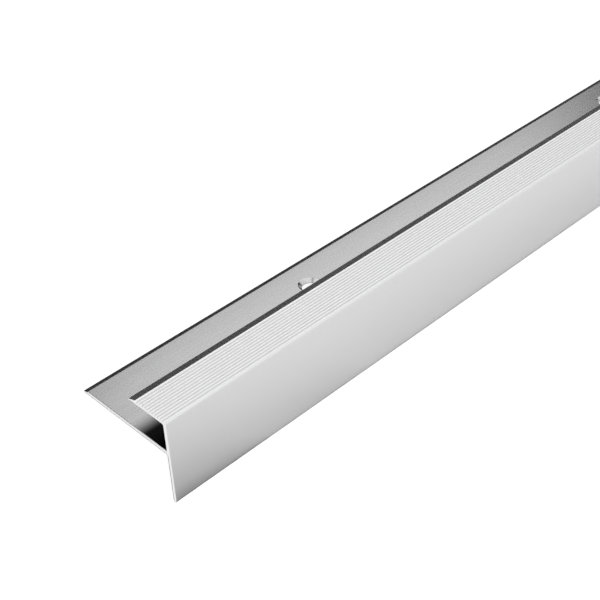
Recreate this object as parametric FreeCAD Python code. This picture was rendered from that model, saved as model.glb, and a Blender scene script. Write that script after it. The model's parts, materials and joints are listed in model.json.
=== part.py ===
import FreeCAD, Part

import math
import os

# Stair nosing: one aluminium profile, extruded, sawn to length and drilled.
# Its section has a base flange that is screwed to the step, an apron that hangs in front of
# the riser, and a grooved tread flange above the base, with a slot between the two for the
# floor covering.
#
# The section is drawn as it is installed: u runs back from the apron's face, and v runs up
# from the underside of the base, which is the top of the step.  All sizes are in millimetres.

# Overall sizes of the bar and its section
bar_length = 1000.0
base_depth = 47.5
tread_depth = 19.7
apron_height = 37.4

# Walls, and the slot that takes the floor covering
base_thickness = 1.7
tread_thickness = 1.7
apron_thickness = 1.5
slot_height = 12.0

# Tapered back edges of the two flanges: how far each taper runs, and what is left at its tip
tread_taper_run = 3.8
tread_tip_height = 0.3
base_taper_run = 2.5
base_tip_height = 0.9

# Rounds
nose_round = 0.9
toe_round = 0.7
slot_corner_round = 0.5
base_corner_round = 0.4
base_tip_round = 0.3
tread_tip_round = 0.1

# Anti-slip grooves along the tread, measured to the groove's middle
groove_pitch = 1.33
groove_width = 0.75
groove_depth = 0.3
front_land = 1.4
rear_land = 1.0

# Countersunk screw holes in the base, behind the tread: the outer two stand at the end margin,
# and the others share the length between them at about the given spacing
hole_end_margin = 98.0
hole_spacing = 200.0
hole_from_heel = 15.4
hole_diameter = 6.5
sink_diameter = 9.5
sink_angle = 90.0
cut_clearance = 0.5

# Heights that follow from the sizes above
base_top = base_thickness
tread_underside = base_top + slot_height
tread_top = tread_underside + tread_thickness
toe = tread_top - apron_height


def rounded_outline(corners):
    """Close an outline through (u, v, radius) corners, with an arc at each corner that has a radius."""
    points = [FreeCAD.Vector(0, u, v) for u, v, radius in corners]
    count = len(points)
    edges = []
    stretches = []
    for index, (u, v, radius) in enumerate(corners):
        corner = points[index]
        towards_last = (points[index - 1] - corner).normalize()
        towards_next = (points[(index + 1) % count] - corner).normalize()
        half_angle = towards_last.getAngle(towards_next) / 2
        setback = radius / math.tan(half_angle)
        start = corner + towards_last * setback
        end = corner + towards_next * setback
        bisector = (towards_last + towards_next).normalize()
        middle = corner + bisector * (radius / math.sin(half_angle) - radius)
        stretches.append((start, middle, end))
    for index, (start, middle, end) in enumerate(stretches):
        next_start = stretches[(index + 1) % count][0]
        edges.append(Part.Arc(start, middle, end).toShape())
        edges.append(Part.LineSegment(end, next_start).toShape())
    return Part.Face(Part.Wire(edges))


def plain_section():
    """The profile's section before the tread is grooved."""
    return rounded_outline([
        (0, toe, toe_round),
        (apron_thickness, toe, toe_round),
        (apron_thickness, 0, base_corner_round),
        (base_depth, 0, base_tip_round),
        (base_depth, base_tip_height, base_tip_round),
        (base_depth - base_taper_run, base_top, base_tip_round),
        (apron_thickness, base_top, base_corner_round),
        (apron_thickness, tread_underside, slot_corner_round),
        (tread_depth, tread_underside, tread_tip_round),
        (tread_depth, tread_underside + tread_tip_height, tread_tip_round),
        (tread_depth - tread_taper_run, tread_top, tread_tip_round),
        (0, tread_top, nose_round),
    ])


def grooves():
    """Discs that bite the row of round-bottomed grooves out of the section's top."""
    radius = (groove_width ** 2 / 4 + groove_depth ** 2) / (2 * groove_depth)
    centre_height = tread_top + radius - groove_depth
    grooved_length = tread_depth - tread_taper_run - front_land - rear_land
    count = int(grooved_length / groove_pitch) + 1
    along = FreeCAD.Vector(1, 0, 0)
    discs = []
    for index in range(count):
        centre = FreeCAD.Vector(0, front_land + index * groove_pitch, centre_height)
        circle = Part.Circle(centre, along, radius)
        discs.append(Part.Face(Part.Wire(circle.toShape())))
    return discs


def hole_places():
    """Distances of the holes from the bar's first end."""
    row_length = bar_length - 2 * hole_end_margin
    gaps = max(1, round(row_length / hole_spacing))
    return [hole_end_margin + index * row_length / gaps for index in range(gaps + 1)]


def countersunk_cutter(x):
    """Turned cutter for one screw hole: a plain bore that opens into a cone at the base's top."""
    bore = hole_diameter / 2
    slope = math.tan(math.radians(sink_angle / 2))
    sink_floor = base_top - (sink_diameter / 2 - bore) / slope
    above = base_top + cut_clearance
    u = base_depth - hole_from_heel
    outline = Part.makePolygon([
        FreeCAD.Vector(x, u, -cut_clearance),
        FreeCAD.Vector(x, u + bore, -cut_clearance),
        FreeCAD.Vector(x, u + bore, sink_floor),
        FreeCAD.Vector(x, u + bore + (above - sink_floor) * slope, above),
        FreeCAD.Vector(x, u, above),
        FreeCAD.Vector(x, u, -cut_clearance),
    ])
    return Part.Face(outline).revolve(FreeCAD.Vector(x, u, 0), FreeCAD.Vector(0, 0, 1), 360)


def resting_tilt():
    """Angle in degrees of the line that touches both the apron's toe and the base's heel."""
    toe_centre_u = apron_thickness - toe_round
    toe_centre_v = toe + toe_round
    heel_centre_u = base_depth - base_tip_round
    run = heel_centre_u - toe_centre_u
    rise = base_tip_round - toe_centre_v
    lean = math.asin((base_tip_round - toe_round) / math.hypot(run, rise))
    return math.degrees(math.atan2(rise, run) - lean)


def nosing_profile():
    """The whole bar, lying unheld on a level floor with the floor's contact at z = 0."""
    section = plain_section().cut(grooves())
    bar = section.extrude(FreeCAD.Vector(bar_length, 0, 0))
    bar = bar.cut([countersunk_cutter(x) for x in hole_places()])
    bar.rotate(FreeCAD.Vector(0, 0, 0), FreeCAD.Vector(1, 0, 0), -resting_tilt())
    box = bar.BoundBox
    bar.translate(FreeCAD.Vector(-box.Center.x, -box.Center.y, -box.ZMin))
    return bar.Solids[0]


os.makedirs("parts", exist_ok=True)
nosing_profile().exportStep("parts/nosing_profile.step")
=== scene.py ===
import json
import math
from collections import namedtuple

import bpy
import numpy as np
from bpy.props import FloatProperty, FloatVectorProperty, PointerProperty
from mathutils import Euler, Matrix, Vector


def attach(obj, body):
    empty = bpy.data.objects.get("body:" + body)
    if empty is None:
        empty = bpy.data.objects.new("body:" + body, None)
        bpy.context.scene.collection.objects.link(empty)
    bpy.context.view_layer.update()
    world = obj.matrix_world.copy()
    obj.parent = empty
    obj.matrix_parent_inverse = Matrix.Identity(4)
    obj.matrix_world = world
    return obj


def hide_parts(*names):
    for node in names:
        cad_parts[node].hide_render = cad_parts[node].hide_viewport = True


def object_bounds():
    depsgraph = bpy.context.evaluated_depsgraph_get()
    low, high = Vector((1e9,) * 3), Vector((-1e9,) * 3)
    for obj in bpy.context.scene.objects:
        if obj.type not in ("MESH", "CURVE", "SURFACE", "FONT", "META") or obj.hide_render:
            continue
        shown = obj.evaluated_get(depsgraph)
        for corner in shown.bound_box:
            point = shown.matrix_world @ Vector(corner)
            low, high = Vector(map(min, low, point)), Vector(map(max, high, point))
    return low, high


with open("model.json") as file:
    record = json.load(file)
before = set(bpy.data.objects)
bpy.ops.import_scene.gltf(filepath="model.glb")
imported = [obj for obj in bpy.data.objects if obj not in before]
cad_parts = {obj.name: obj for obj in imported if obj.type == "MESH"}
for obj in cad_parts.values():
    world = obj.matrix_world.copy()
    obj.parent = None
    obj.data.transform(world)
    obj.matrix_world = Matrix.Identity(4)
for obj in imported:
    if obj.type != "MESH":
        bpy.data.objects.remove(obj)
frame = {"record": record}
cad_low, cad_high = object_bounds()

# Stair nosing: one aluminium bar, extruded, sawn to length and drilled.
# It lies unheld on a level floor, on its apron's toe and its base's heel.
# The section is worked out as it is installed: u runs back from the apron's face, and v runs up
# from the underside of the base.  It is then turned and set down where the frame's solid lies.

bl_info = {
    "name": "Stair nosing",
    "version": (1, 0, 0),
    "blender": (4, 5, 0),
    "location": "View3D > Sidebar > Nosing",
    "description": "Sweeps a grooved stair nosing with countersunk holes and lights it for a picture",
    "category": "Add Mesh",
}

MM = 0.001
BODY = "root"
PROFILE_NODE = "nosing_profile"

# Points closer than this are one point of the closed mesh
WELD = 1e-8

# How far the finished bar's box may stand off the frame's box
BOX_TOLERANCE = 0.05 * MM

# Finishes of the sides that show on a stair.  All other sides are as they were extruded
# The groove, nose_top and nose finishes are the tread's aluminium with painted shade in their colours
SIDE_FINISHES = {
    "tread_top": "tread",
    "groove": "groove",
    "nose_top": "nose_top",
    "nose": "nose",
    "apron_face": "apron",
}

# Sides whose sawn edges get a wider dressed edge, painted near-black as a line of painted shade
PAINTED_SHADE_LINE_SIDES = ("underside", "heel", "base_taper", "apron_back", "toe", "tread_tip")

# Sides of the section that the screw holes pass through
DRILLED_SIDES = ("base_top", "underside")

# A strip of the section: its points, their outward normals, the side it belongs to, and its arc's
# radius, or None where it runs straight
Strip = namedtuple("Strip", "points normals side radius")

# Largest turn from one point of an arc to the next, and the least number of steps in an arc
ARC_STEP = math.radians(9)
LEAST_ARC_STEPS = 3

# Steps along each side of the square window round a screw hole, and round a sawn end's dressed edge
WINDOW_STEPS = 12
EDGE_STEPS = 3

# A straight run is cut near its ends where it is longer than this many times the painted shade line's
# ease
EASED_RUN = 4

# How much of an outer corner's radius a sawn end's dressed edge may take
CORNER_SHARE = 0.8

# Grain of the finishes: cycles in a metre along and across the bar, height, and unevenness of tone
ANODISED_GRAIN = (60.0, 4000.0, 0.002 * MM, 0.01)
EXTRUDED_GRAIN = (25.0, 2500.0, 0.003 * MM, 0.012)
SAWN_GRAIN = (2000.0, 2000.0, 0.002 * MM, 0.01)
DRILLED_GRAIN = (500.0, 500.0, 0.001 * MM, 0.01)

# The grain's noise: its octaves, how rough each is, and the range that nearly all of it lies in
GRAIN_DETAIL = 4.0
GRAIN_ROUGHNESS = 0.6
GRAIN_LOW = 0.3
GRAIN_HIGH = 0.7

# How far the grain moves a surface's roughness either way
ROUGHNESS_SPREAD = 0.03

# The floor's grey where it lights the bar, its grey where shadows fall on it, and its own glow there
PAPER_GREY = 0.85
SHADED_GREY = 0.13
PAPER_GLOW = 0.93
WHITE = (1, 1, 1, 1)

# Where the lamp is aimed and what the cards stand round, as shares of the way from the bar's middle
# to its visible end
LAMP_AIM = 0.7
CARD_CENTRE = 0.75

# Cards that lie over the floor: name, grey, height and corners.  Heights and corners are in metres,
# and the corners are counted along the bar from its visible end, and back from its middle line
FLOOR_CARDS = (
    ("back_flag", 0.05, 0.00002, ((0, -0.022), (3.5, -0.022), (3.5, 0.9), (0, 0.9))),
    # Painted shadow: a near-black card under the bar, for the floor's shadow there, which the metal
    # mirrors
    ("heel_card", 0.01, 0.00004, ((0, -0.022), (3.5, -0.022), (3.5, 0.045), (0, 0.045))),
    ("front_card", 0.37, 0.00002, ((0, -0.075), (3.5, -0.075), (3.5, -0.022), (0, -0.022))),
    ("long_corner_card", 0.29, 0.00003, ((0, -0.11), (0.07, -0.055), (0.105, -0.022), (0, -0.022))),
    ("corner_card", 0.20, 0.00004, ((0, -0.09), (0.025, -0.05), (0.045, -0.022), (0, -0.022))),
    # Painted shadow: dark cards along the toe and by its visible end, for the floor's contact shadow
    # there, which the metal mirrors
    ("toe_card", 0.12, 0.00006, ((0, -0.0285), (3.5, -0.0285), (3.5, -0.022), (0, -0.022))),
    ("toe_corner_card", 0.0, 0.00008,
     ((0, -0.036), (0.015, -0.0315), (0.045, -0.0285), (0.045, -0.022), (0, -0.022))),
    ("top_flag", 0.02, 2.2, ((-1.9, 0.5), (1.0, 0.5), (1.0, 1.9), (-1.9, 1.9))),
)

# Cards that stand round the visible end: name, and the azimuths and elevations that they stand
# between, in degrees
STANDING_CARDS = (
    ("right_flag", (-7, 38.5), (-2, 40)),
    ("left_flag", (72, 108), (-2, 40)),
    ("low_flag", (38.5, 72), (-2, 4)),
)
STANDING_GREY = 0.02
STANDING_DISTANCE = 3.0

# The low card that stands behind the heel: its grey, how far it stands back from the bar's middle
# line, its length and its height
HEEL_WALL_GREY = 0.03
HEEL_WALL_BACK = 0.11
HEEL_WALL_LENGTH = 3.5
HEEL_WALL_HEIGHT = 0.023

# The camera's sensor in millimetres, and the distances in metres that it sees between
SENSOR_WIDTH = 36.0
CLIP_START = 0.01
CLIP_END = 100.0


class NosingSizes(bpy.types.PropertyGroup):
    """Sizes of the bar's section, its grooves and its screw holes."""

    base_depth: FloatProperty(
        name="Base depth", description="From the apron's face to the base's heel",
        default=47.5 * MM, min=0, unit="LENGTH")
    tread_depth: FloatProperty(
        name="Tread depth", description="From the apron's face to the tread's back edge",
        default=19.7 * MM, min=0, unit="LENGTH")
    apron_height: FloatProperty(
        name="Apron height", description="From the tread's top to the apron's toe",
        default=37.4 * MM, min=0, unit="LENGTH")
    base_thickness: FloatProperty(
        name="Base thickness", description="Wall of the base flange",
        default=1.7 * MM, min=0, unit="LENGTH")
    tread_thickness: FloatProperty(
        name="Tread thickness", description="Wall of the tread flange",
        default=1.7 * MM, min=0, unit="LENGTH")
    apron_thickness: FloatProperty(
        name="Apron thickness", description="Wall of the apron",
        default=1.5 * MM, min=0, unit="LENGTH")
    slot_height: FloatProperty(
        name="Slot height", description="Room for the floor covering between base and tread",
        default=12.0 * MM, min=0, unit="LENGTH")
    tread_taper_run: FloatProperty(
        name="Tread taper", description="How far the tread's back edge tapers",
        default=3.8 * MM, min=0, unit="LENGTH")
    tread_tip_height: FloatProperty(
        name="Tread tip", description="What the taper leaves at the tread's back edge",
        default=0.3 * MM, min=0, unit="LENGTH")
    base_taper_run: FloatProperty(
        name="Base taper", description="How far the base's heel tapers",
        default=2.5 * MM, min=0, unit="LENGTH")
    base_tip_height: FloatProperty(
        name="Base tip", description="What the taper leaves at the base's heel",
        default=0.9 * MM, min=0, unit="LENGTH")
    nose_round: FloatProperty(
        name="Nose round", description="Radius between the tread and the apron's face",
        default=0.9 * MM, min=0, unit="LENGTH")
    toe_round: FloatProperty(
        name="Toe round", description="Radius of the apron's lower edges",
        default=0.7 * MM, min=0, unit="LENGTH")
    slot_corner_round: FloatProperty(
        name="Slot corner round", description="Radius in the slot's corner under the tread",
        default=0.5 * MM, min=0, unit="LENGTH")
    base_corner_round: FloatProperty(
        name="Base corner round", description="Radius in the corners between base and apron",
        default=0.4 * MM, min=0, unit="LENGTH")
    base_tip_round: FloatProperty(
        name="Base tip round", description="Radius of the edges at the base's heel",
        default=0.3 * MM, min=0, unit="LENGTH")
    tread_tip_round: FloatProperty(
        name="Tread tip round", description="Radius of the edges at the tread's back edge",
        default=0.1 * MM, min=0, unit="LENGTH")
    groove_pitch: FloatProperty(
        name="Groove pitch", description="From one groove's middle to the next",
        default=1.33 * MM, min=0, unit="LENGTH")
    groove_width: FloatProperty(
        name="Groove width", description="Width of a groove at the tread's top",
        default=0.75 * MM, min=0, unit="LENGTH")
    groove_depth: FloatProperty(
        name="Groove depth", description="Depth of a groove below the tread's top",
        default=0.3 * MM, min=0, unit="LENGTH")
    groove_edge_round: FloatProperty(
        name="Groove edge round", description="Radius of the edges between groove and tread",
        default=0.1 * MM, min=0, unit="LENGTH")
    groove_wall_slope: FloatProperty(
        name="Groove wall slope", description="Angle between a groove's wall and the tread",
        default=math.radians(60), subtype="ANGLE")
    front_land: FloatProperty(
        name="Front land", description="From the apron's face to the first groove's middle",
        default=1.4 * MM, min=0, unit="LENGTH")
    rear_land: FloatProperty(
        name="Rear land", description="Least distance from the last groove's middle to the taper",
        default=1.0 * MM, min=0, unit="LENGTH")
    sink_diameter: FloatProperty(
        name="Countersink", description="Diameter of a screw hole at the base's top",
        default=9.5 * MM, min=0, unit="LENGTH")
    sink_angle: FloatProperty(
        name="Countersink angle", description="Full angle of the countersink's cone",
        default=math.radians(90), subtype="ANGLE")
    hole_edge_round: FloatProperty(
        name="Hole edge round", description="Radius of a screw hole's edges",
        default=0.08 * MM, min=0, unit="LENGTH")
    hole_window: FloatProperty(
        name="Hole window", description="Half side of the square of base that a hole is set into",
        default=6.0 * MM, min=0, unit="LENGTH")
    end_break: FloatProperty(
        name="End break", description="How far the sawn ends' sharp edges are dressed back",
        default=0.3 * MM, min=0, unit="LENGTH")
    # The painted shade line on the sawn ends' lower and back edges: how far its dressed edge runs in, and
    # how it eases in by a corner
    painted_shade_line_width: FloatProperty(
        name="Burr width", description="How far the dressed edge runs in where the saw leaves a burr",
        default=0.55 * MM, min=0, unit="LENGTH")
    painted_shade_line_ease: FloatProperty(
        name="Burr ease", description="Length in which the burr comes to its full width by a corner",
        default=1.0 * MM, min=0, unit="LENGTH")


class NosingFinish(bpy.types.PropertyGroup):
    """Colours and roughness of the bar's surfaces."""

    tread_colour: FloatVectorProperty(
        name="Tread colour", description="Anodised colour of the grooved tread",
        subtype="COLOR", size=3, min=0, max=1, default=(0.865, 0.865, 0.87))
    # Painted shade: the grooves are the tread's own aluminium, painted darker where they lie in shadow
    groove_colour: FloatVectorProperty(
        name="Groove colour", description="Anodised colour of the tread's grooves",
        subtype="COLOR", size=3, min=0, max=1, default=(0.585, 0.585, 0.59))
    # Painted shade: the nose's round gets two darker copies of the tread's colour, the lower one darker,
    # to take down its highlight
    nose_top_colour: FloatVectorProperty(
        name="Nose top colour", description="Anodised colour of the upper third of the nose's round",
        subtype="COLOR", size=3, min=0, max=1, default=(0.755, 0.755, 0.76))
    nose_colour: FloatVectorProperty(
        name="Nose colour", description="Anodised colour of the rest of the nose's round",
        subtype="COLOR", size=3, min=0, max=1, default=(0.635, 0.635, 0.64))
    tread_roughness: FloatProperty(
        name="Tread roughness", description="Roughness of the grooved tread",
        default=0.60, min=0, max=1, subtype="FACTOR")
    tread_shine: FloatProperty(
        name="Tread shine", description="How much of the tread mirrors, while its skin scatters the rest",
        default=0.4, min=0, max=1, subtype="FACTOR")
    apron_colour: FloatVectorProperty(
        name="Apron colour", description="Anodised colour of the apron's face",
        subtype="COLOR", size=3, min=0, max=1, default=(0.87, 0.87, 0.875))
    apron_roughness: FloatProperty(
        name="Apron roughness", description="Roughness of the apron's face",
        default=0.50, min=0, max=1, subtype="FACTOR")
    extruded_colour: FloatVectorProperty(
        name="Extruded colour", description="Anodised colour of the base, the slot and the back",
        subtype="COLOR", size=3, min=0, max=1, default=(0.63, 0.63, 0.635))
    extruded_roughness: FloatProperty(
        name="Extruded roughness", description="Roughness of the base, the slot and the back",
        default=0.27, min=0, max=1, subtype="FACTOR")
    # Painted shade in the slot: the base's colour is painted darker deep in the slot, where it lies in
    # shadow
    slot_painted_shade_fades_from: FloatProperty(
        name="Slot lightens from", description="Depth from the apron's face where the slot's dark ends",
        default=12.5 * MM, min=0, unit="LENGTH")
    slot_painted_shade_fades_to: FloatProperty(
        name="Slot lightens to", description="Depth where the slot is as light as the base",
        default=22.0 * MM, min=0, unit="LENGTH")
    slot_painted_shade_level: FloatProperty(
        name="Slot darkness", description="What is left of the base's colour at the bottom of the slot",
        default=0.006, min=0, max=1, subtype="FACTOR")
    cut_colour: FloatVectorProperty(
        name="Cut face", description="Bare aluminium of the sawn ends",
        subtype="COLOR", size=3, min=0, max=1, default=(0.90, 0.90, 0.90))
    cut_roughness: FloatProperty(
        name="Cut roughness", description="Roughness of the sawn ends",
        default=0.35, min=0, max=1, subtype="FACTOR")
    drilled_colour: FloatVectorProperty(
        name="Drilled face", description="Anodised colour of the drilled holes",
        subtype="COLOR", size=3, min=0, max=1, default=(0.70, 0.70, 0.70))
    drilled_roughness: FloatProperty(
        name="Drilled roughness", description="Roughness of the drilled holes",
        default=0.24, min=0, max=1, subtype="FACTOR")
    # Painted shade: the near-black colour of the line along the sawn ends' lower and back edges
    painted_shade_line_colour: FloatVectorProperty(
        name="Burr colour", description="Colour of the sawn ends' edges where a little burr is left",
        subtype="COLOR", size=3, min=0, max=1, default=(0.01, 0.01, 0.01))


class NosingStudio(bpy.types.PropertyGroup):
    """The floor, the lights and the camera."""

    floor_size: FloatProperty(
        name="Floor size", description="Side of the square floor",
        default=24.0, min=0, unit="LENGTH")
    fill_level: FloatProperty(
        name="Fill level", description="Strength of the even light from all around",
        default=0.95, min=0)
    key_place: FloatVectorProperty(
        name="Key light", description="Place of the large lamp in front of the bar",
        subtype="TRANSLATION", size=3, default=(-1.3, -0.6, 2.0))
    key_power: FloatProperty(
        name="Key power", description="Power of the large lamp in front of the bar",
        default=34.0, min=0, unit="POWER")
    key_size: FloatProperty(
        name="Key size", description="Side of the large lamp's square face",
        default=1.2, min=0, unit="LENGTH")
    camera_place: FloatVectorProperty(
        name="Camera place", description="Where the camera stands",
        subtype="TRANSLATION", size=3, default=(-0.66654, -0.11619, 0.38290))
    camera_turn: FloatVectorProperty(
        name="Camera turn", description="How the camera is turned about X, Y and Z",
        subtype="EULER", size=3,
        default=(math.radians(34.3205), math.radians(-15.5292), math.radians(-42.4480)))
    camera_lens: FloatProperty(
        name="Lens", description="Focal length in millimetres on a 36 mm wide sensor",
        default=73.33, min=1)


def section_corners(sizes):
    """The section's corners in order, with material on the left: u, v, radius, and the side ahead.

    An arc belongs to the side ahead, or is shared out evenly among the sides named after that."""
    base_top = sizes.base_thickness
    underside = base_top + sizes.slot_height
    top = underside + sizes.tread_thickness
    toe = top - sizes.apron_height
    wall = sizes.apron_thickness
    heel = sizes.base_depth
    tip = sizes.tread_depth
    taper = tip - sizes.tread_taper_run
    return [
        (0, toe, sizes.toe_round, "toe"),
        (wall, toe, sizes.toe_round, "apron_back"),
        (wall, 0, sizes.base_corner_round, "underside"),
        (heel, 0, sizes.base_tip_round, "heel"),
        (heel, sizes.base_tip_height, sizes.base_tip_round, "base_taper"),
        (heel - sizes.base_taper_run, base_top, sizes.base_tip_round, "base_top"),
        (wall, base_top, sizes.base_corner_round, "slot_front"),
        (wall, underside, sizes.slot_corner_round, "slot_roof"),
        (tip, underside, sizes.tread_tip_round, "tread_tip"),
        (tip, underside + sizes.tread_tip_height, sizes.tread_tip_round, "tread_taper"),
        (taper, top, sizes.tread_tip_round, "tread_top"),
        *groove_corners(sizes, taper, top),
        (0, top, sizes.nose_round, "apron_face", "nose_top", "nose", "nose"),
    ]


def groove_corners(sizes, taper, top):
    """Three corners for each groove, from the taper to the nose: its edge, its floor and its edge.

    The walls lean at the given slope, and the floor's radius is the one that brings it to its depth."""
    slope = sizes.groove_wall_slope
    half = sizes.groove_width / 2
    point_depth = half * math.tan(slope)
    floor_round = (point_depth - sizes.groove_depth) / (1 / math.cos(slope) - 1)
    grooved = taper - sizes.front_land - sizes.rear_land
    corners = []
    for index in reversed(range(int(grooved / sizes.groove_pitch) + 1)):
        middle = sizes.front_land + index * sizes.groove_pitch
        corners += [
            (middle + half, top, sizes.groove_edge_round, "groove"),
            (middle, top - point_depth, floor_round, "groove"),
            (middle - half, top, sizes.groove_edge_round, "tread_top"),
        ]
    return corners


def rounded_strips(corners, closed=True):
    """Cuts an outline through rounded corners into strips.

    Along an arc the heading turns evenly from the side behind to the side ahead.  The normal is the
    heading turned a quarter to the right, and each point lies one radius along it from the arc's
    centre.  The strips are the arcs and the straight runs between them, so neighbours share an end."""
    places = np.array([corner[:2] for corner in corners], float)
    radii = np.array([corner[2] for corner in corners], float)
    ahead = np.roll(places, -1, axis=0) - places
    ahead /= np.linalg.norm(ahead, axis=1)[:, None]
    behind = np.roll(ahead, 1, axis=0)
    turn = np.arctan2(behind[:, 0] * ahead[:, 1] - behind[:, 1] * ahead[:, 0],
                      (behind * ahead).sum(axis=1))
    if not closed:
        radii[[0, -1]] = 0
        turn[[0, -1]] = 0
    setback = (radii * np.tan(np.abs(turn) / 2))[:, None]
    starts = places - behind * setback
    ends = places + ahead * setback
    strips = []
    for index, (side, *arc_sides) in enumerate(corner[3:] for corner in corners):
        if radii[index] > 0:
            arc_sides = arc_sides or [side]
            least = abs(turn[index]) / ARC_STEP / len(arc_sides)
            steps = max(LEAST_ARC_STEPS, math.ceil(least))
            first = math.atan2(behind[index, 1], behind[index, 0])
            heading = first + turn[index] * np.linspace(0, 1, steps * len(arc_sides) + 1)
            normals = np.stack([np.sin(heading), -np.cos(heading)], axis=1)
            points = starts[index] + (normals - normals[0]) * radii[index] * np.sign(turn[index])
            points[-1] = ends[index]
            for part, arc_side in enumerate(arc_sides):
                share = slice(part * steps, (part + 1) * steps + 1)
                strips.append(Strip(points[share], normals[share], arc_side, radii[index]))
        if closed or index < len(corners) - 1:
            points = np.stack([ends[index], starts[(index + 1) % len(corners)]])
            normal = np.array([ahead[index, 1], -ahead[index, 0]])
            strips.append(Strip(points, np.stack([normal, normal]), side, None))
    return strips


class Skin:
    """Collects a piece's faces patch by patch, and welds them into one closed mesh."""

    def __init__(self):
        self.points = []
        self.normals = []
        self.faces = []
        self.finishes = []
        self.total = 0

    def add_points(self, points, normals):
        """Keeps points with their normals, and returns the number of the first."""
        first = self.total
        self.points.append(points.reshape(-1, 3))
        self.normals.append(normals.reshape(-1, 3))
        self.total += points.size // 3
        return first

    def add_grid(self, points, normals, finish, keep=None):
        """Adds a grid of points, shaped (rows, columns, 3), as quads that face along its normals."""
        rows, columns = points.shape[:2]
        index = self.add_points(points, normals) + np.arange(rows * columns).reshape(rows, columns)
        quads = np.stack([index[:-1, :-1], index[1:, :-1], index[1:, 1:], index[:-1, 1:]], axis=-1)
        diagonal = points[1:, 1:] - points[:-1, :-1]
        other = points[:-1, 1:] - points[1:, :-1]
        if (np.cross(diagonal, other) * normals[:-1, :-1]).sum() < 0:
            quads = quads[..., ::-1]
        quads = quads.reshape(-1, 4) if keep is None else quads[keep]
        self.faces += quads.tolist()
        self.finishes += [finish] * len(quads)

    def add_polygon(self, points, normal, finish):
        """Adds one flat face of many corners, which run anticlockwise seen from its front."""
        first = self.add_points(points, np.broadcast_to(normal, points.shape))
        self.faces.append(list(range(first, self.total)))
        self.finishes.append(finish)

    def mesh(self, name, turn, shift, materials):
        """Welds the points that meet, turns and shifts them, and keeps each patch's own normals."""
        points = np.concatenate(self.points)
        normals = np.concatenate(self.normals)
        cells = np.round(points / WELD).astype(np.int64)
        first, welded = np.unique(cells, axis=0, return_index=True, return_inverse=True)[1:]
        loops = np.concatenate(self.faces)
        sizes = np.array([len(face) for face in self.faces])
        used, corners = np.unique(welded.reshape(-1)[loops], return_inverse=True)
        faces = np.split(corners.reshape(-1), np.cumsum(sizes)[:-1])
        made = bpy.data.meshes.new(name)
        made.from_pydata((points[first[used]] @ turn.T + shift).tolist(), [],
                         [face.tolist() for face in faces], shade_flat=False)
        for material in materials.values():
            made.materials.append(material)
        order = list(materials)
        slots = np.array([order.index(finish) for finish in self.finishes], np.int32)
        made.polygons.foreach_set("material_index", slots)
        made.normals_split_custom_set((normals[loops] @ turn.T).tolist())
        made.update()
        return made


def swept(strip, along):
    """A strip carried along the bar: grids of points and normals, with a row for each station."""
    stations = np.broadcast_to(along[:, None, None], (len(along), len(strip.points), 1))
    shape = (len(along), *strip.points.shape)
    grid = np.concatenate([stations, np.broadcast_to(strip.points, shape)], axis=2)
    level = np.zeros_like(stations)
    facing = np.concatenate([level, np.broadcast_to(strip.normals, shape)], axis=2)
    return grid, facing


def window_cuts(half_side):
    """Offsets that cut a square's side so that lines to them from its middle are evenly fanned."""
    return half_side * np.tan(np.linspace(-math.pi / 4, math.pi / 4, WINDOW_STEPS + 1))


def cut_strips(strips, ease, cuts):
    """Adds points to the straight strips: a short way in from both ends, and at the windows' cuts."""
    finer = []
    for strip in strips:
        start = strip.points[0]
        run = strip.points[-1] - start
        length = np.linalg.norm(run)
        if strip.radius is None and length > EASED_RUN * ease:
            shares = [0, ease / length, 1 - ease / length, 1]
            if strip.side in DRILLED_SIDES:
                shares += ((cuts - start[0]) / run[0]).tolist()
            points = start + run * np.sort(shares)[:, None]
            normals = np.broadcast_to(strip.normals[0], points.shape)
            strip = strip._replace(points=points, normals=normals)
        finer.append(strip)
    return finer


def add_skin(skin, strips, stations, holes, window):
    """Sweeps every strip along the bar, and leaves a square window where a screw hole is set in."""
    for strip in strips:
        keep = None
        if strip.radius is None and strip.side in DRILLED_SIDES:
            x_middles = (stations[:-1] + stations[1:]) / 2
            u_middles = (strip.points[:-1, 0] + strip.points[1:, 0]) / 2
            keep = np.ones((len(x_middles), len(u_middles)), bool)
            for x, u in holes:
                in_row = abs(x_middles - x) < window[-1]
                in_column = abs(u_middles - u) < window[-1]
                keep &= ~(in_row[:, None] & in_column[None, :])
        grid, facing = swept(strip, stations)
        skin.add_grid(grid, facing, SIDE_FINISHES.get(strip.side, "extruded"), keep)


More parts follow.
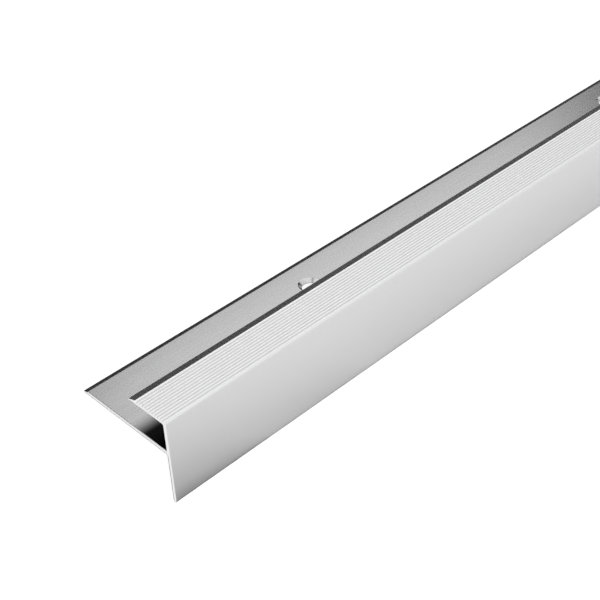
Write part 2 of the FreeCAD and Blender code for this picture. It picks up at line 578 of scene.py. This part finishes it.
def add_hole(skin, sizes, place, bore):
    """One screw hole: its turned walls, and the flat rings that join them to the square windows.

    A ring's point runs straight from the circle to the square at the same angle.  The square's point
    is the circle's direction, lengthened until its larger part is half the square's side."""
    sink = sizes.sink_diameter / 2
    floor = sizes.base_thickness - (sink - bore) / math.tan(sizes.sink_angle / 2)
    margin = (sizes.hole_window - sink) / 2
    walls = rounded_strips([
        (sink + margin, sizes.base_thickness, 0, "extruded"),
        (sink, sizes.base_thickness, sizes.hole_edge_round, "drilled"),
        (bore, floor, sizes.hole_edge_round, "drilled"),
        (bore, 0, sizes.hole_edge_round, "extruded"),
        (bore + margin, 0, 0, "extruded"),
    ], closed=False)
    angle = np.linspace(0, 2 * math.pi, 4 * WINDOW_STEPS + 1) - math.pi / 4
    around = np.stack([np.cos(angle), np.sin(angle)], axis=1)
    around[-1] = around[0]
    square = around * sizes.hole_window / abs(around).max(axis=1)[:, None]
    for wall in walls:
        flat = place + around[None] * wall.points[:, None, :1]
        height = np.broadcast_to(wall.points[:, None, 1:], (*flat.shape[:2], 1))
        grid = np.concatenate([flat, height], axis=2)
        rise = np.broadcast_to(wall.normals[:, None, 1:], height.shape)
        facing = np.concatenate([around[None] * wall.normals[:, None, :1], rise], axis=2)
        skin.add_grid(grid, facing, wall.side)
    share = np.array([0, 0.5, 1])[:, None, None]
    for radius, height, up in ((sink, sizes.base_thickness, 1.0), (bore, 0.0, -1.0)):
        circle = around[None] * (radius + margin)
        flat = place + circle * (1 - share) + square[None] * share
        grid = np.concatenate([flat, np.full((*flat.shape[:2], 1), height)], axis=2)
        skin.add_grid(grid, np.broadcast_to([0.0, 0.0, up], grid.shape), "extruded")


def add_end(skin, strips, sizes, end, outward):
    """One sawn end: its dressed edge and its flat face.

    The edge is a quarter turn from the section's own normals to the bar's axis.  It steps in by the
    end break, or by the painted shade line's width, but never by more than its share of an outer
    corner's radius.  On the shade-lined sides the edge is painted near-black, a painted shade line."""
    wide = [sizes.painted_shade_line_width if strip.side in PAINTED_SHADE_LINE_SIDES else sizes.end_break for strip in strips]
    rooms = []
    for index, strip in enumerate(strips):
        first, last = strip.normals[0], strip.normals[-1]
        outer = first[0] * last[1] > first[1] * last[0]
        most = CORNER_SHARE * strip.radius if strip.radius and outer else math.inf
        rooms.append(min(wide[index - 1], wide[index], most))
    turn = np.linspace(0, math.pi / 2, EDGE_STEPS + 1)[:, None]
    rings = []
    for index, strip in enumerate(strips):
        room = np.full(len(strip.points), rooms[index])
        if strip.radius is None:
            room[:] = wide[index]
            room[[0, -1]] = rooms[index - 1], rooms[(index + 1) % len(strips)]
        inset = strip.points[None] - strip.normals[None] * (room * (1 - np.cos(turn)))[..., None]
        x = end + outward * sizes.end_break * (np.sin(turn) - 1)
        x = np.broadcast_to(x[..., None], (*inset.shape[:2], 1))
        grid = np.concatenate([x, inset], axis=2)
        lean = np.broadcast_to(outward * np.sin(turn)[..., None], x.shape)
        facing = np.concatenate([lean, strip.normals[None] * np.cos(turn)[..., None]], axis=2)
        finish = SIDE_FINISHES.get(strip.side, "extruded")
        # Painted shade: the dressed edge of these sides is painted near-black
        skin.add_grid(grid, facing, "burr" if strip.side in PAINTED_SHADE_LINE_SIDES else finish)
        rings.append(grid[-1][:-1])
    outline = np.concatenate(rings)
    skin.add_polygon(outline if outward > 0 else outline[::-1], [outward, 0.0, 0.0], "cut")


def screw_holes():
    """Places, upward axis and bore radius of the screw holes, as the frame's record has them."""
    bores = [mount for mount in frame["record"]["mounts"] if mount["kind"] == "bore"]
    places = np.array([bore["pos_m"] for bore in bores])
    return places, np.array(bores[0]["axis"]), bores[0]["dims"]["r_mm"] * MM


def build_bar(sizes, materials):
    """The whole bar as one closed mesh, lying where the frame's solid lies."""
    places, up, bore = screw_holes()
    turn = np.array([[1, 0, 0], [0, up[2], up[1]], [0, -up[1], up[2]]])
    turn[1:] /= np.linalg.norm(up)
    strips = rounded_strips(section_corners(sizes))
    outline = np.concatenate([strip.points for strip in strips])
    lying = outline @ turn[1:, 1:].T
    middle = (lying[:, 0].min() + lying[:, 0].max()) / 2
    shift = np.array([(cad_low.x + cad_high.x) / 2, (cad_low.y + cad_high.y) / 2 - middle,
                      cad_low.z - lying[:, 1].min()])
    holes = ((places - shift) @ turn)[:, :2]
    half_length = (cad_high.x - cad_low.x) / 2
    window = window_cuts(sizes.hole_window)
    inner = np.concatenate([x + window for x in holes[:, 0]])
    strips = cut_strips(strips, sizes.painted_shade_line_ease, holes[0][1] + window)
    dressed = half_length - sizes.end_break
    stations = np.concatenate([[-dressed], inner, [dressed]])
    skin = Skin()
    add_skin(skin, strips, stations, holes, window)
    for place in holes:
        add_hole(skin, sizes, place, bore)
    for outward in (-1.0, 1.0):
        add_end(skin, strips, sizes, outward * half_length, outward)
    mesh = skin.mesh("nosing_bar", turn, shift, materials)
    mark_depth(mesh, sizes, turn, shift)
    return mesh


def mark_depth(mesh, sizes, turn, shift):
    """Gives every point in the slot its depth from the apron's face, and all others the base's depth."""
    points = np.empty(len(mesh.vertices) * 3)
    mesh.vertices.foreach_get("co", points)
    u, v = ((points.reshape(-1, 3) - shift) @ turn).T[1:]
    near = 0.01 * MM
    base_top = sizes.base_thickness
    inside = ((u > sizes.apron_thickness - near) & (u < sizes.base_depth)
              & (v > base_top - near) & (v < base_top + sizes.slot_height + near))
    depth = np.where(inside, u, sizes.base_depth)
    # The depth only drives the slot's painted shade
    mesh.attributes.new("slot_depth", "FLOAT", "POINT").data.foreach_set("value", depth)


def new_material(name):
    """A new node material, and its shader."""
    material = bpy.data.materials.new(name)
    material.use_nodes = True
    return material, material.node_tree.nodes["Principled BSDF"]


def add_node(tree, kind, links=None, **values):
    """A node of one kind, with its properties set and its named inputs given a value or a link."""
    node = tree.nodes.new(kind)
    for name, value in values.items():
        setattr(node, name, value)
    for name, value in (links or {}).items():
        if isinstance(value, bpy.types.NodeSocket):
            tree.links.new(value, node.inputs[name])
        else:
            node.inputs[name].default_value = value
    return node


def ranged(tree, level, low, high):
    """The grain's noise spread between two values."""
    links = {
        "Value": level,
        "From Min": GRAIN_LOW,
        "From Max": GRAIN_HIGH,
        "To Min": low,
        "To Max": high,
    }
    return add_node(tree, "ShaderNodeMapRange", links).outputs["Result"]


def product(tree, first, second):
    """Two colours multiplied with each other."""
    links = {0: first, 1: second}
    return add_node(tree, "ShaderNodeVectorMath", links, operation="MULTIPLY").outputs["Vector"]


def aluminium(name, colour, roughness, grain, shade=None, shine=1.0):
    """Satin aluminium with a fine grain that runs along the bar.

    The grain is noise on the bar's own axes, drawn out along its length.  It lifts the surface by a
    few thousandths of a millimetre, and makes the roughness and the colour a little uneven.  A
    shade is painted shade in the slot: two depths, dark up to the first and lightening up to the
    second, and what is left of the colour in the dark."""
    along, across, height, unevenness = grain
    material, shader = new_material(name)
    tree = material.node_tree
    shader.inputs["Metallic"].default_value = shine
    place = add_node(tree, "ShaderNodeTexCoord").outputs["Object"]
    drawn = add_node(tree, "ShaderNodeMapping", {"Vector": place, "Scale": (along, across, across)})
    noise = add_node(tree, "ShaderNodeTexNoise", {
        "Vector": drawn.outputs["Vector"],
        "Scale": 1.0,
        "Detail": GRAIN_DETAIL,
        "Roughness": GRAIN_ROUGHNESS,
    })
    level = noise.outputs["Fac"]
    toned = product(tree, (*colour,), ranged(tree, level, 1 - unevenness, 1 + unevenness))
    if shade is not None:
        # Painted shade: the colour is darkened by the slot's depth, for the shadow deep in the slot
        start, end, darkness = shade
        depth = add_node(tree, "ShaderNodeAttribute", attribute_name="slot_depth")
        light = add_node(tree, "ShaderNodeMapRange", {
            "Value": depth.outputs["Fac"],
            "From Min": start,
            "From Max": end,
            "To Min": darkness,
            "To Max": 1.0,
        }, interpolation_type="SMOOTHSTEP")
        toned = product(tree, toned, light.outputs["Result"])
    tree.links.new(toned, shader.inputs["Base Color"])
    rough = ranged(tree, level, roughness - ROUGHNESS_SPREAD, roughness + ROUGHNESS_SPREAD)
    tree.links.new(rough, shader.inputs["Roughness"])
    bump = add_node(tree, "ShaderNodeBump", {"Height": level, "Strength": 1.0, "Distance": height})
    tree.links.new(bump.outputs["Normal"], shader.inputs["Normal"])
    return material


def dull_burr(name, colour):
    """A painted shade line: dark and dull, and it mirrors nothing."""
    material, shader = new_material(name)
    shader.inputs["Base Color"].default_value = (*colour, 1)
    shader.inputs["Roughness"].default_value = 1.0
    shader.inputs["Specular IOR Level"].default_value = 0.0
    return material


def plain_grey(level):
    """A grey as a colour with alpha."""
    return (level, level, level, 1)


def mixed(tree, share, first, second):
    """A shader that turns from the first into the second as the share goes from 0 to 1."""
    links = {0: share, 1: first.outputs[0], 2: second.outputs[0]}
    return add_node(tree, "ShaderNodeMixShader", links)


def bar_materials(finish):
    """The bar's materials, by the names of its finishes."""
    materials = {}
    # The groove and nose materials are darker copies of the tread: painted shade
    for name in ("tread", "groove", "nose_top", "nose"):
        colour = getattr(finish, name + "_colour")
        materials[name] = aluminium(name + "_anodised", colour, finish.tread_roughness,
                                    ANODISED_GRAIN, shine=finish.tread_shine)
    materials["apron"] = aluminium("apron_anodised", finish.apron_colour,
                                   finish.apron_roughness, ANODISED_GRAIN)
    # Painted shade: the slot's colour is painted darker towards the apron
    shade = (finish.slot_painted_shade_fades_from, finish.slot_painted_shade_fades_to, finish.slot_painted_shade_level)
    materials["extruded"] = aluminium("extruded_anodised", finish.extruded_colour,
                                      finish.extruded_roughness, EXTRUDED_GRAIN, shade=shade)
    materials["cut"] = aluminium("cut_aluminium", finish.cut_colour,
                                 finish.cut_roughness, SAWN_GRAIN)
    materials["drilled"] = aluminium("drilled_aluminium", finish.drilled_colour,
                                     finish.drilled_roughness, DRILLED_GRAIN)
    materials["burr"] = dull_burr("dull_burr", finish.painted_shade_line_colour)
    return materials


def make_floor(studio):
    """A pale level floor, white to the camera where no shadow falls, and white in the metal."""
    half = studio.floor_size / 2
    mesh = bpy.data.meshes.new("floor")
    corners = [(-half, -half, 0), (half, -half, 0), (half, half, 0), (-half, half, 0)]
    mesh.from_pydata(corners, [], [(0, 1, 2, 3)])
    material, shader = new_material("floor_paper")
    tree = material.node_tree
    tree.nodes.remove(shader)
    rays = add_node(tree, "ShaderNodeLightPath").outputs
    paper = add_node(tree, "ShaderNodeBsdfDiffuse", {"Color": plain_grey(PAPER_GREY)})
    shaded = add_node(tree, "ShaderNodeBsdfDiffuse", {"Color": plain_grey(SHADED_GREY)})
    glow = add_node(tree, "ShaderNodeEmission", {"Color": WHITE, "Strength": PAPER_GLOW})
    white = add_node(tree, "ShaderNodeEmission", {"Color": WHITE, "Strength": 1.0})
    seen = add_node(tree, "ShaderNodeAddShader", {0: shaded.outputs[0], 1: glow.outputs[0]})
    unseen = mixed(tree, rays["Is Glossy Ray"], paper, white)
    both = mixed(tree, rays["Is Camera Ray"], unseen, seen)
    tree.links.new(both.outputs[0], tree.nodes["Material Output"].inputs["Surface"])
    mesh.materials.append(material)
    floor = bpy.data.objects.new("floor", mesh)
    bpy.context.scene.collection.objects.link(floor)


def make_world(studio):
    """White to the camera and in the metal, and an even plain light on everything else."""
    world = bpy.data.worlds.new("studio_world")
    world.use_nodes = True
    tree = world.node_tree
    rays = add_node(tree, "ShaderNodeLightPath").outputs
    seen = rays["Is Camera Ray"]
    for kind in ("Is Glossy Ray", "Is Transmission Ray"):
        either = add_node(tree, "ShaderNodeMath", {0: seen, 1: rays[kind]}, operation="MAXIMUM")
        seen = either.outputs[0]
    fill = tree.nodes["Background"]
    fill.inputs["Color"].default_value = WHITE
    fill.inputs["Strength"].default_value = studio.fill_level
    white = add_node(tree, "ShaderNodeBackground", {"Color": WHITE, "Strength": 1.0})
    both = mixed(tree, seen, fill, white)
    tree.links.new(both.outputs[0], tree.nodes["World Output"].inputs["Surface"])
    bpy.context.scene.world = world


def make_lamp(studio):
    """The large square lamp, which faces the visible end of the bar and isn't mirrored in the metal."""
    light = bpy.data.lights.new("key_lamp", "AREA")
    light.shape = "SQUARE"
    light.size = studio.key_size
    light.energy = studio.key_power
    lamp = bpy.data.objects.new("key_lamp", light)
    lamp.location = studio.key_place
    lamp.rotation_mode = "QUATERNION"
    towards = Vector((cad_low.x * LAMP_AIM, 0, 0)) - Vector(studio.key_place)
    lamp.rotation_quaternion = towards.to_track_quat("-Z", "Y")
    lamp.visible_camera = False
    lamp.visible_glossy = False
    bpy.context.scene.collection.objects.link(lamp)


def make_card(name, corners, grey):
    """A plain flat card, seen only in the metal."""
    mesh = bpy.data.meshes.new(name)
    mesh.from_pydata(corners, [], [tuple(range(len(corners)))])
    material, shader = new_material(name + "_felt")
    shader.inputs["Base Color"].default_value = plain_grey(grey)
    shader.inputs["Roughness"].default_value = 1.0
    mesh.materials.append(material)
    card = bpy.data.objects.new(name, mesh)
    bpy.context.scene.collection.objects.link(card)
    card.visible_camera = False
    card.visible_diffuse = False
    card.visible_shadow = False
    card.visible_transmission = False


def make_floor_cards():
    """The level cards, and the low wall behind the heel."""
    for name, grey, height, corners in FLOOR_CARDS:
        make_card(name, [(cad_low.x + x, y, height) for x, y in corners], grey)
    far = cad_low.x + HEEL_WALL_LENGTH
    ends = ((cad_low.x, 0), (far, 0), (far, HEEL_WALL_HEIGHT), (cad_low.x, HEEL_WALL_HEIGHT))
    make_card("heel_wall", [(x, HEEL_WALL_BACK, z) for x, z in ends], HEEL_WALL_GREY)


def make_standing_cards():
    """The cards that stand round the bar's visible end, their angles counted from its axis and up."""
    centre = np.array([cad_low.x * CARD_CENTRE, 0, 0])
    for name, (right, left), (low, high) in STANDING_CARDS:
        corners = []
        for azimuth, elevation in ((right, low), (left, low), (left, high), (right, high)):
            turn = math.radians(azimuth)
            towards = np.array([math.cos(turn), math.sin(turn), math.tan(math.radians(elevation))])
            corners.append(tuple(centre + STANDING_DISTANCE * towards))
        make_card(name, corners, STANDING_GREY)


def make_camera(studio):
    """The camera, at the photograph's viewing angle."""
    data = bpy.data.cameras.new("camera")
    data.sensor_width = SENSOR_WIDTH
    data.lens = studio.camera_lens
    data.clip_start = CLIP_START
    data.clip_end = CLIP_END
    camera = bpy.data.objects.new("camera", data)
    camera.location = studio.camera_place
    camera.rotation_euler = Euler(studio.camera_turn, "XYZ")
    bpy.context.scene.collection.objects.link(camera)
    bpy.context.scene.camera = camera


class NOSING_OT_add_bar(bpy.types.Operator):
    """Adds the extruded, drilled and sawn bar in place of the frame's plain solid"""

    bl_idname = "nosing.add_bar"
    bl_label = "Add nosing bar"

    def execute(self, context):
        mesh = build_bar(context.scene.nosing_sizes, bar_materials(context.scene.nosing_finish))
        bar = bpy.data.objects.new("nosing_bar", mesh)
        context.scene.collection.objects.link(bar)
        points = np.empty(len(mesh.vertices) * 3)
        mesh.vertices.foreach_get("co", points)
        points = points.reshape(-1, 3)
        offset = max(abs(points.min(axis=0) - cad_low).max(), abs(points.max(axis=0) - cad_high).max())
        if offset > BOX_TOLERANCE:
            raise RuntimeError(f"the bar's box is {offset / MM:.3f} mm off the frame's box")
        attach(bar, BODY)
        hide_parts(PROFILE_NODE)
        return {"FINISHED"}


class NOSING_OT_add_stage(bpy.types.Operator):
    """Adds the floor, the lights and the camera"""

    bl_idname = "nosing.add_stage"
    bl_label = "Add stage"

    def execute(self, context):
        studio = context.scene.nosing_studio
        context.scene.view_settings.view_transform = "Standard"
        make_floor(studio)
        make_world(studio)
        make_lamp(studio)
        make_floor_cards()
        make_standing_cards()
        make_camera(studio)
        return {"FINISHED"}


class NOSING_PT_panel(bpy.types.Panel):
    """Lists the sizes, finishes and studio settings, and the buttons that build them"""

    bl_idname = "NOSING_PT_panel"
    bl_label = "Stair nosing"
    bl_space_type = "VIEW_3D"
    bl_region_type = "UI"
    bl_category = "Nosing"

    def draw(self, context):
        scene = context.scene
        groups = (scene.nosing_sizes, scene.nosing_finish, scene.nosing_studio)
        for group in groups:
            box = self.layout.box()
            for name in group.__annotations__:
                box.prop(group, name)
        self.layout.operator(NOSING_OT_add_bar.bl_idname)
        self.layout.operator(NOSING_OT_add_stage.bl_idname)


CLASSES = (
    NosingSizes,
    NosingFinish,
    NosingStudio,
    NOSING_OT_add_bar,
    NOSING_OT_add_stage,
    NOSING_PT_panel,
)


def register():
    """Makes the classes known, and gives every scene its sizes, finish and studio."""
    for kind in CLASSES:
        bpy.utils.register_class(kind)
    bpy.types.Scene.nosing_sizes = PointerProperty(type=NosingSizes)
    bpy.types.Scene.nosing_finish = PointerProperty(type=NosingFinish)
    bpy.types.Scene.nosing_studio = PointerProperty(type=NosingStudio)


def unregister():
    """Takes back what register has added."""
    del bpy.types.Scene.nosing_studio
    del bpy.types.Scene.nosing_finish
    del bpy.types.Scene.nosing_sizes
    for kind in reversed(CLASSES):
        bpy.utils.unregister_class(kind)


def main():
    """Builds the bar and its stage."""
    register()
    bpy.ops.nosing.add_bar()
    bpy.ops.nosing.add_stage()


if __name__ == "__main__":
    main()
